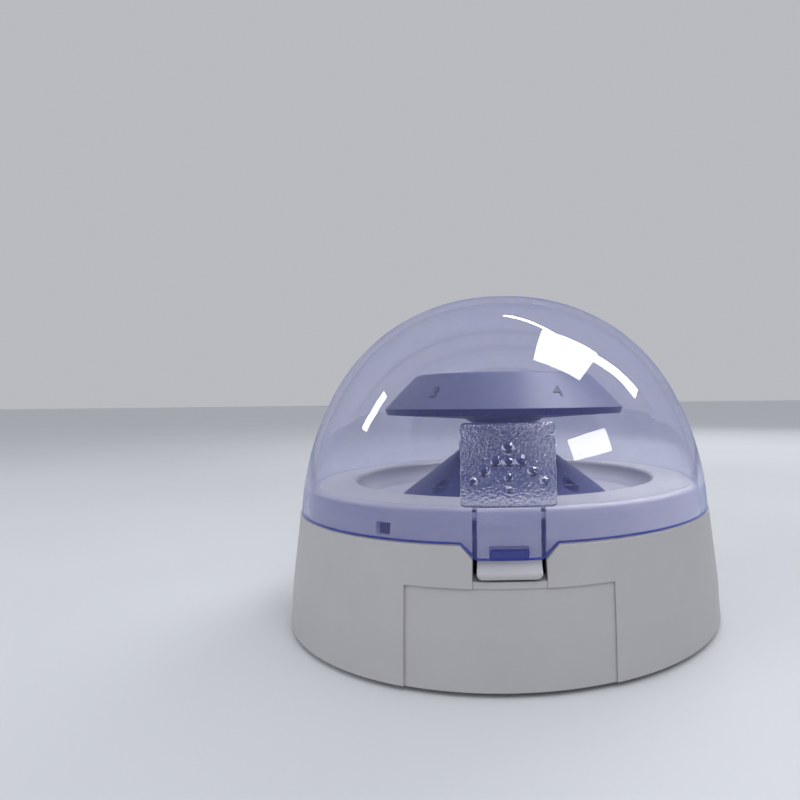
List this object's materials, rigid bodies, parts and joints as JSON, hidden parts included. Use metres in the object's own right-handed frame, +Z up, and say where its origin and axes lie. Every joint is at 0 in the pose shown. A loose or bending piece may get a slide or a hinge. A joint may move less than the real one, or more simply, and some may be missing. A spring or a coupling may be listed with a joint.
{
  "type": "laboratory centrifuge",
  "caption": "Round bench centrifuge with a clear domed lid on a rear hinge, a press latch at the front and a fixed-angle tube rotor.",
  "frame": {"origin": "centre of the overall plan outline, on the plane that the feet stand on; the rotor's axis is 3.45 mm in front of it", "axes": "front of the machine faces -Y, +Z is up along the rotor's axis, +X to the right as seen from the front"},
  "size_m": [0.1548, 0.1606, 0.1145],
  "materials": {
    "housing_grey": "moulded ABS, fine texture",
    "liner_grey": "moulded ABS, satin",
    "plate_grey": "moulded ABS",
    "latch_grey": "moulded POM, satin",
    "foot_rubber": "matt",
    "damper_rubber": "matt",
    "screw_steel": "zinc plated",
    "bracket_steel": "zinc plated sheet",
    "can_steel": "plated",
    "shaft_steel": "ground",
    "nut_steel": "nickel plated",
    "magnet": "ferrite",
    "bronze": "sintered bronze or brass",
    "armature": "laminations and varnished winding",
    "black_plastic": "moulded",
    "rocker_black": "polished",
    "rotor_dark": "moulded, satin",
    "lid_clear": "clear blue-tinted polycarbonate",
    "board_green": "solder mask",
    "capacitor_blue": "sleeve",
    "heat_sink": "extruded",
    "header_white": "nylon",
    "wire_red": "PVC",
    "wire_grey": "PVC"
  },
  "bodies": {
    "base": {"housing": "housing_grey", "chamber_liner": "liner_grey", "base_plate": "plate_grey", "rubber_feet": "foot_rubber", "plate_screws": "screw_steel", "motor_cowl": "rotor_dark", "cowl_screws": "screw_steel", "motor_bracket": "bracket_steel", "motor_dampers": "damper_rubber", "bracket_screws": "screw_steel", "motor_can": "can_steel", "motor_magnets": "magnet", "motor_bearings": "bronze", "motor_end_cap": "black_plastic", "motor_screws": "screw_steel", "hinge_pin": "shaft_steel", "switch_frame": "black_plastic", "switch_terminals": "bronze", "dc_jack": "black_plastic", "dc_jack_nut": "nut_steel", "circuit_board": "board_green", "board_screws": "screw_steel", "board_capacitors": "capacitor_blue", "board_heat_sink": "heat_sink", "board_header": "header_white", "lid_sensor": "black_plastic", "motor_wires": "wire_red", "supply_wires": "wire_red", "sensor_wires": "wire_grey"},
    "rotor_group": {"motor_armature": "armature", "motor_shaft": "shaft_steel", "rotor": "rotor_dark", "rotor_insert": "bronze", "rotor_nut": "rotor_dark"},
    "lid": {"lid_dome": "lid_clear", "lid_arm": "housing_grey", "lid_screws": "screw_steel"},
    "latch": {"latch_tab": "latch_grey"},
    "rocker": {"switch_rocker": "rocker_black"}
  },
  "joints": [
    {"name": "lid_hinge", "type": "hinge", "parent": "base", "child": "lid", "pos_m": [0, 0.07655, 0.0395], "axis": [-1, 0, 0], "range_deg": [0, 95]},
    {"name": "rotor_spin", "type": "hinge", "parent": "base", "child": "rotor_group", "pos_m": [0, -0.00345, 0.07], "axis": [0, 0, 1], "continuous": true},
    {"name": "latch_press", "type": "hinge", "parent": "base", "child": "latch", "pos_m": [0, -0.07045, 0.0446], "axis": [1, 0, 0], "range_deg": [0, 3.5], "stiffness_Nm_per_rad": 0.6},
    {"name": "power_rocker", "type": "hinge", "parent": "base", "child": "rocker", "pos_m": [-0.012, 0.06455, 0.0185], "axis": [1, 0, 0], "range_deg": [-20, 0]}
  ]
}
